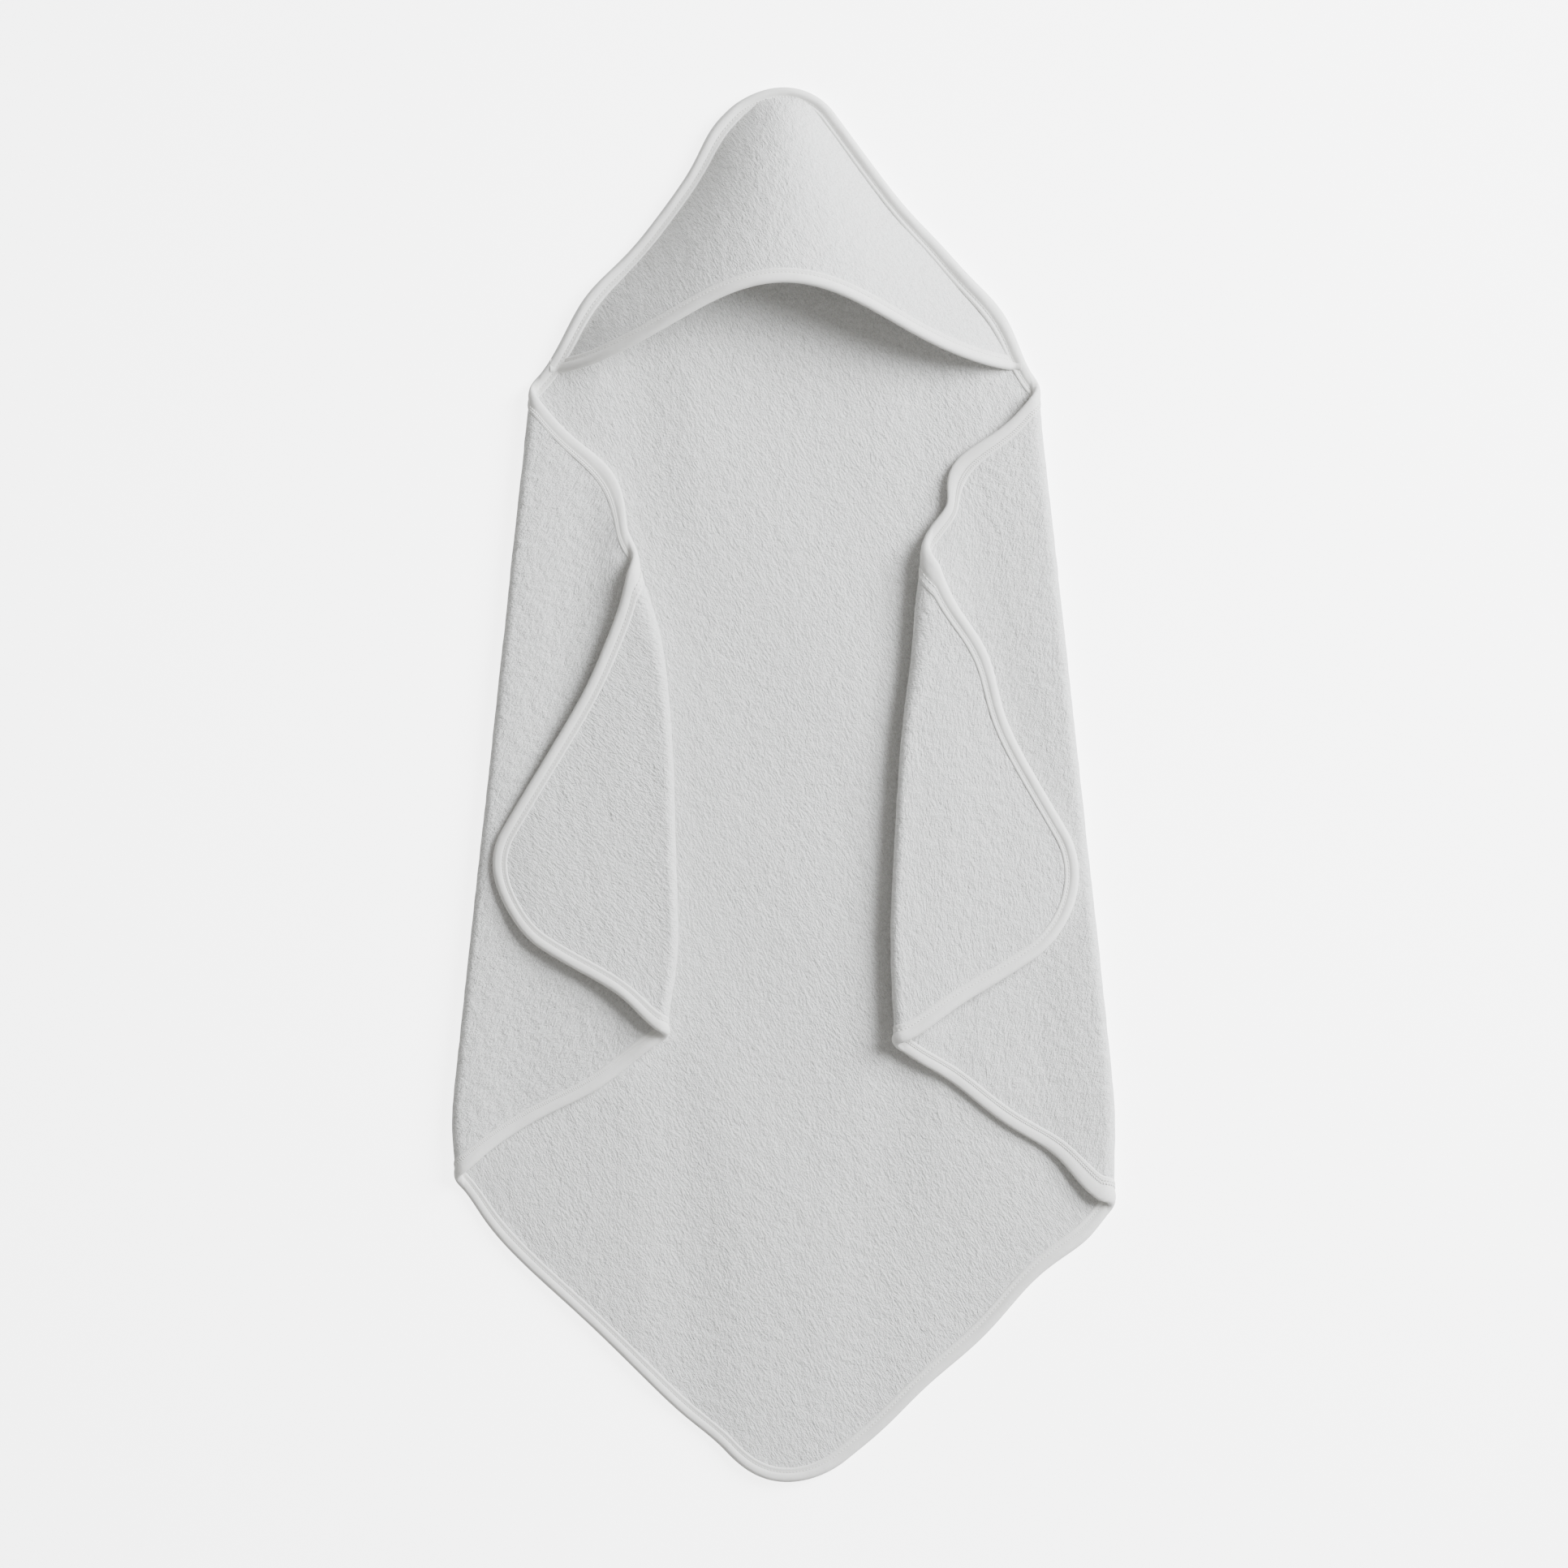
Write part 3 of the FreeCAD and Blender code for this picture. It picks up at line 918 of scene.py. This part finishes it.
def hood_grid():
    """A plain grid for the hood panel, mapped as the panel lies flat, and that flat's size."""
    bm = bmesh.new()
    bmesh.ops.create_grid(bm, x_segments=96, y_segments=56, size=0.5)
    share, depth, _ = hood_shares(bm)
    plan = dome(share, depth, 0.0)[:, :2]
    layer = bm.loops.layers.uv.verify()
    for face in bm.faces:
        for loop in face.loops:
            loop[layer].uv = plan[loop.vert.index]
    return bm, plan.max(axis=0) - plan.min(axis=0)


def hood_shares(bm):
    """Share across the opening, depth into the hood and distance off, for a grid's points."""
    flat = coordinates(bm)
    return flat[:, 0] * 2, flat[:, 1] + 0.5, flat[:, 2]


class TOWEL_OT_hood_panel(bpy.types.Operator):
    """Build the hood's second layer of terry, open below like a pocket"""

    bl_idname = "towel.hood_panel"
    bl_label = "Hood Panel"

    def execute(self, context):
        size = settings(context)
        bm, flat = hood_grid()
        thicken(bm, size.cloth)
        share, depth, off = hood_shares(bm)
        share = share * NARROWED
        depth = ROW_INSET + depth * (1 - 2 * ROW_INSET)
        middle = dome(share, depth, size.dome_rise)
        off = pile_relief(middle, off)
        move_points(bm, middle + dome_normal(share, depth, size.dome_rise) * off[:, None])
        piece = finish_piece(context, "hood_terry", bm, terry_material(size))
        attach(piece, "hood")
        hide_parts("hood_panel")
        return {"FINISHED"}


# ------------------------------------------------------------------ materials


def new_group(name, inputs, outputs):
    """An empty shader node group with named sockets, or the one that exists."""
    group = bpy.data.node_groups.get(name)
    if group:
        return group, None, None
    group = bpy.data.node_groups.new(name, "ShaderNodeTree")
    for label, kind, value in inputs:
        socket = group.interface.new_socket(label, in_out="INPUT", socket_type=kind)
        if value is not None:
            socket.default_value = value
    for label, kind in outputs:
        group.interface.new_socket(label, in_out="OUTPUT", socket_type=kind)
    return group, group.nodes.new("NodeGroupInput"), group.nodes.new("NodeGroupOutput")


def add_node(tree, kind, **values):
    """A node with some of its properties and inputs set."""
    node = tree.nodes.new(kind)
    for name, value in values.items():
        if hasattr(node, name):
            setattr(node, name, value)
        else:
            node.inputs[name.replace("_", " ")].default_value = value
    return node


def maths(tree, operation, first, second):
    """A Math node on two values, each a socket or a number."""
    node = tree.nodes.new("ShaderNodeMath")
    node.operation = operation
    for slot, value in zip(node.inputs, (first, second)):
        if isinstance(value, (int, float)):
            slot.default_value = value
        else:
            tree.links.new(value, slot)
    return node.outputs[0]


def texture(tree, kind, place, scale, **values):
    """A texture read at a place, its scale a socket or a number."""
    node = add_node(tree, f"ShaderNodeTex{kind}", **values)
    tree.links.new(place, node.inputs["Vector"])
    if isinstance(scale, float):
        node.inputs["Scale"].default_value = scale
    else:
        tree.links.new(scale, node.inputs["Scale"])
    return node


def cells(tree, place, scale, randomness):
    """The round tops of the pile's loops: 1 in a loop's middle and less between loops."""
    node = texture(
        tree, "Voronoi", place, scale, voronoi_dimensions="2D", Randomness=randomness
    )
    return maths(tree, "SUBTRACT", 1.0, node.outputs["Distance"])


def stretched(tree, vector, factors, added=None):
    """A vector times fixed factors, with another one added if it is given."""
    node = tree.nodes.new("ShaderNodeVectorMath")
    node.operation = "MULTIPLY_ADD" if added else "MULTIPLY"
    tree.links.new(vector, node.inputs[0])
    node.inputs[1].default_value = factors
    if added:
        tree.links.new(added, node.inputs[2])
    return node.outputs[0]


def loop_tops(tree, place, loop_size):
    """The tops of the pile's wandering loops, and of the finer twists in them."""
    wander = texture(tree, "Noise", place, 0.35, noise_dimensions="2D", Detail=2.0)
    drifted = stretched(tree, wander.outputs["Color"], (1.6, 1.6, 0), place)
    loop_scale = maths(tree, "DIVIDE", 1.0, loop_size)
    twist_scale = maths(tree, "MULTIPLY", loop_scale, 2.3)
    return cells(tree, drifted, loop_scale, 0.85), cells(tree, place, twist_scale, 1.0)


def weighted(tree, parts):
    """The sum of some values, each times its share."""
    total = 0.0
    for value, share in parts:
        total = maths(tree, "ADD", total, maths(tree, "MULTIPLY", value, share))
    return total


def pile_group():
    """Terry pile: rows of loops, their clumps, and painted shade between the loops, with the
    colour darker also where the streaks lie low.
    """
    group, start, end = new_group(
        "terry_pile",
        [
            ("Place", "NodeSocketVector", None),
            ("Loop Size", "NodeSocketFloat", 1.1),
            ("Clump Size", "NodeSocketFloat", 9.0),
        ],
        [("Height", "NodeSocketFloat"), ("Painted Shade And Tone", "NodeSocketFloat")],
    )
    if start is None:
        return group
    place = start.outputs["Place"]
    rounded, fine = loop_tops(group, place, start.outputs["Loop Size"])
    clump_scale = maths(group, "DIVIDE", 1.0, start.outputs["Clump Size"])
    clumps = texture(
        group, "Noise", place, clump_scale, noise_dimensions="2D", Detail=2.0, Roughness=0.5
    ).outputs["Fac"]
    long_way = stretched(group, place, (1.0, 0.42, 1.0))
    streaks = texture(
        group, "Noise", long_way, 0.55, noise_dimensions="2D", Detail=4.0, Roughness=0.62
    ).outputs["Fac"]
    # Painted shade: the colour darkens between the loops, where their tops fall away.
    between = add_node(group, "ShaderNodeMapRange", From_Min=0.12, From_Max=0.70)
    group.links.new(maths(group, "MULTIPLY", rounded, fine), between.inputs["Value"])

    height = weighted(group, [(rounded, 0.34), (fine, 0.16), (clumps, 1.6), (streaks, 1.5)])
    # The colour's pattern: painted shade between the loops, and darker where the streaks lie low.
    shade = weighted(group, [(between.outputs["Result"], 0.60), (streaks, 0.75)])
    group.links.new(height, end.inputs["Height"])
    group.links.new(shade, end.inputs["Painted Shade And Tone"])
    return group


def knit_group():
    """Fine knit or twist: ribs across the map's first direction, a little uneven, with painted
    shade in the grooves between the ribs.
    """
    group, start, end = new_group(
        "fine_knit",
        [
            ("Place", "NodeSocketVector", None),
            ("Rib Size", "NodeSocketFloat", 0.6),
            ("Unevenness", "NodeSocketFloat", 1.0),
        ],
        [("Height", "NodeSocketFloat"), ("Painted Shade And Tone", "NodeSocketFloat")],
    )
    if start is None:
        return group
    place = start.outputs["Place"]
    # A wave's bands repeat every 0.314 units at a scale of 1.
    rib_scale = maths(group, "DIVIDE", 0.314, start.outputs["Rib Size"])
    ribs = texture(group, "Wave", place, rib_scale, Detail=1.0, Distortion=1.2)
    uneven = texture(group, "Noise", place, 0.22, noise_dimensions="2D", Detail=3.0)
    soft = maths(group, "MULTIPLY", uneven.outputs["Fac"], start.outputs["Unevenness"])
    # The colour's pattern: painted shade in the rib grooves, and uneven tone from the noise.
    for share, output in ((0.35, "Height"), (0.45, "Painted Shade And Tone")):
        mixed = weighted(group, [(ribs.outputs["Fac"], share), (soft, 1.0)])
        group.links.new(mixed, end.inputs[output])
    return group


def pattern_node(tree, group, values, turn):
    """A shared group read at the cloth's own map in mm, turned by some degrees."""
    cloth_map = tree.nodes.new("ShaderNodeTexCoord")
    in_mm = add_node(
        tree, "ShaderNodeMapping",
        Scale=(1 / MM, 1 / MM, 1), Rotation=(0, 0, math.radians(turn)),
    )
    tree.links.new(cloth_map.outputs["UV"], in_mm.inputs["Vector"])
    pattern = tree.nodes.new("ShaderNodeGroup")
    pattern.node_tree = group
    for label, value in values.items():
        pattern.inputs[label].default_value = value
    tree.links.new(in_mm.outputs["Vector"], pattern.inputs["Place"])
    return pattern


def cloth_material(name, group, values, turn, colours, surface):
    """A fabric coloured by its pattern from dark painted shade to its own light colour, and its
    roughness, sheen and bump in mm.
    """
    found = bpy.data.materials.get(name)
    if found:
        return found
    material = bpy.data.materials.new(name)
    material.use_nodes = True
    tree = material.node_tree
    shader = tree.nodes["Principled BSDF"]
    rough, sheen, bump = surface
    shader.inputs["Roughness"].default_value = rough
    shader.inputs["Sheen Weight"].default_value = sheen
    shader.inputs["Sheen Roughness"].default_value = 0.6
    shader.inputs["Specular IOR Level"].default_value = 0.25

    pattern = pattern_node(tree, group, values, turn)
    # The ramp paints shade into the base colour: dark where the pattern's painted shade is
    # deepest.
    ramp = tree.nodes.new("ShaderNodeValToRGB")
    for stop, colour, position in zip(ramp.color_ramp.elements, colours, (0.10, 0.85)):
        stop.color = (*colour, 1)
        stop.position = position
    tree.links.new(pattern.outputs["Painted Shade And Tone"], ramp.inputs["Fac"])
    tree.links.new(ramp.outputs["Color"], shader.inputs["Base Color"])

    relief = add_node(tree, "ShaderNodeBump", Distance=bump * MM, Strength=1.0)
    tree.links.new(pattern.outputs["Height"], relief.inputs["Height"])
    tree.links.new(relief.outputs["Normal"], shader.inputs["Normal"])
    return material


def darker(colour, share):
    """A colour with part of its light taken away."""
    return tuple(value * share for value in colour)


def terry_material(size):
    """Looped terry, warm white, with painted shade between its loops."""
    light = tuple(size.terry_colour)
    values = {"Loop Size": size.loop_size / MM, "Clump Size": 8.0}
    # The dark end is the painted shade between the loops; the light end is the terry's own colour.
    colours = (darker(light, 0.70), light)
    return cloth_material("terry_loops", pile_group(), values, -28, colours, (0.85, 0.25, 0.9))


def tape_material(size):
    """Smooth jersey binding with fine ribs across it, and painted shade in their grooves."""
    light = tuple(size.tape_colour)
    values = {"Rib Size": 0.55, "Unevenness": 0.8}
    # The dark end is the painted shade in the rib grooves.
    colours = (darker(light, 0.90), light)
    return cloth_material("binding_jersey", knit_group(), values, 0, colours, (0.8, 0.2, 0.12))


def thread_material(size):
    """Sewing thread, finely twisted, with painted shade in the grooves of its twist."""
    light = tuple(size.thread_colour)
    values = {"Rib Size": 0.35, "Unevenness": 0.5}
    # The dark end is the painted shade in the twist's grooves.
    colours = (darker(light, 0.85), light)
    return cloth_material("sewing_thread", knit_group(), values, 35, colours, (0.7, 0.1, 0.08))


# ------------------------------------------------------------------ stage


FLOOR_HALF = 4.0
CAMERA_HEIGHT = 5.0
FRAME_WIDTH = 1.133  # how much of the floor the camera sees
SENSOR = 36  # mm


def paper_material():
    """White paper that glows a little towards a camera above it, so that it stays white."""
    paper = bpy.data.materials.new("white_paper")
    paper.use_nodes = True
    tree = paper.node_tree
    shader = tree.nodes["Principled BSDF"]
    shader.inputs["Base Color"].default_value = (0.93, 0.93, 0.93, 1)
    shader.inputs["Roughness"].default_value = 1.0
    shader.inputs["Emission Color"].default_value = (1, 1, 1, 1)
    facing = add_node(tree, "ShaderNodeLayerWeight", Blend=0.5)
    upright = maths(tree, "SUBTRACT", 1.0, facing.outputs["Facing"])
    glow = maths(tree, "MULTIPLY", maths(tree, "POWER", upright, 6.0), 4.5)
    tree.links.new(glow, shader.inputs["Emission Strength"])
    return paper


def add_floor(context):
    """A plain floor that belongs to the stage."""
    bm = bmesh.new()
    bmesh.ops.create_grid(bm, x_segments=1, y_segments=1, size=FLOOR_HALF)
    mesh = bpy.data.meshes.new("floor")
    bm.to_mesh(mesh)
    bm.free()
    mesh.materials.append(paper_material())
    floor = bpy.data.objects.new("floor", mesh)
    context.scene.collection.objects.link(floor)


def add_light(context):
    """Even light from all round, and one large soft lamp at the right, aimed at the towel."""
    world = bpy.data.worlds.new("studio")
    context.scene.world = world
    world.use_nodes = True
    backdrop = world.node_tree.nodes["Background"]
    backdrop.inputs["Color"].default_value = (1, 0.985, 0.95, 1)
    backdrop.inputs["Strength"].default_value = 0.36
    lamp = bpy.data.lights.new("key", "AREA")
    lamp.shape = "SQUARE"
    lamp.size = 1.9
    lamp.energy = 360
    lamp.color = (0.96, 0.98, 1.0)
    holder = bpy.data.objects.new("key", lamp)
    holder.location = (2.35, 1.25, 1.75)
    holder.rotation_euler = (-holder.location).to_track_quat("-Z", "Y").to_euler()
    context.scene.collection.objects.link(holder)


def add_camera(context):
    """The camera straight above, upright to the towel."""
    camera = bpy.data.cameras.new("camera")
    camera.sensor_width = SENSOR
    camera.lens = SENSOR * CAMERA_HEIGHT / FRAME_WIDTH
    holder = bpy.data.objects.new("camera", camera)
    holder.location = (0, 0, CAMERA_HEIGHT)
    context.scene.collection.objects.link(holder)
    context.scene.camera = holder


class TOWEL_OT_stage(bpy.types.Operator):
    """Add the floor, the soft light and the camera straight above"""

    bl_idname = "towel.stage"
    bl_label = "Stage"

    def execute(self, context):
        add_floor(context)
        add_light(context)
        add_camera(context)
        return {"FINISHED"}


# ------------------------------------------------------------------ panel and registration


class TOWEL_PT_sidebar(bpy.types.Panel):
    """Lists the towel's sizes and the pieces that can be built"""

    bl_idname = "TOWEL_PT_sidebar"
    bl_label = "Hooded Towel"
    bl_space_type = "VIEW_3D"
    bl_region_type = "UI"
    bl_category = "Towel"

    def draw(self, context):
        for name in TowelSettings.__annotations__:
            self.layout.prop(context.scene.hooded_towel, name)
        for step in STEPS:
            self.layout.operator(step.bl_idname)


STEPS = [
    TOWEL_OT_edge_binding,
    TOWEL_OT_edge_stitching,
    TOWEL_OT_panel,
    TOWEL_OT_hood_binding,
    TOWEL_OT_hood_stitching,
    TOWEL_OT_hood_panel,
    TOWEL_OT_stage,
]
CLASSES = [TowelSettings, *STEPS, TOWEL_PT_sidebar]


def register():
    """Make the towel's classes and settings known to Blender."""
    for item in CLASSES:
        bpy.utils.register_class(item)
    bpy.types.Scene.hooded_towel = bpy.props.PointerProperty(type=TowelSettings)


def unregister():
    """Take them away again."""
    del bpy.types.Scene.hooded_towel
    for item in reversed(CLASSES):
        bpy.utils.unregister_class(item)


def main():
    """Build every piece in order."""
    register()
    for step in STEPS:
        group, name = step.bl_idname.split(".")
        getattr(getattr(bpy.ops, group), name)()


if __name__ == "__main__":
    main()
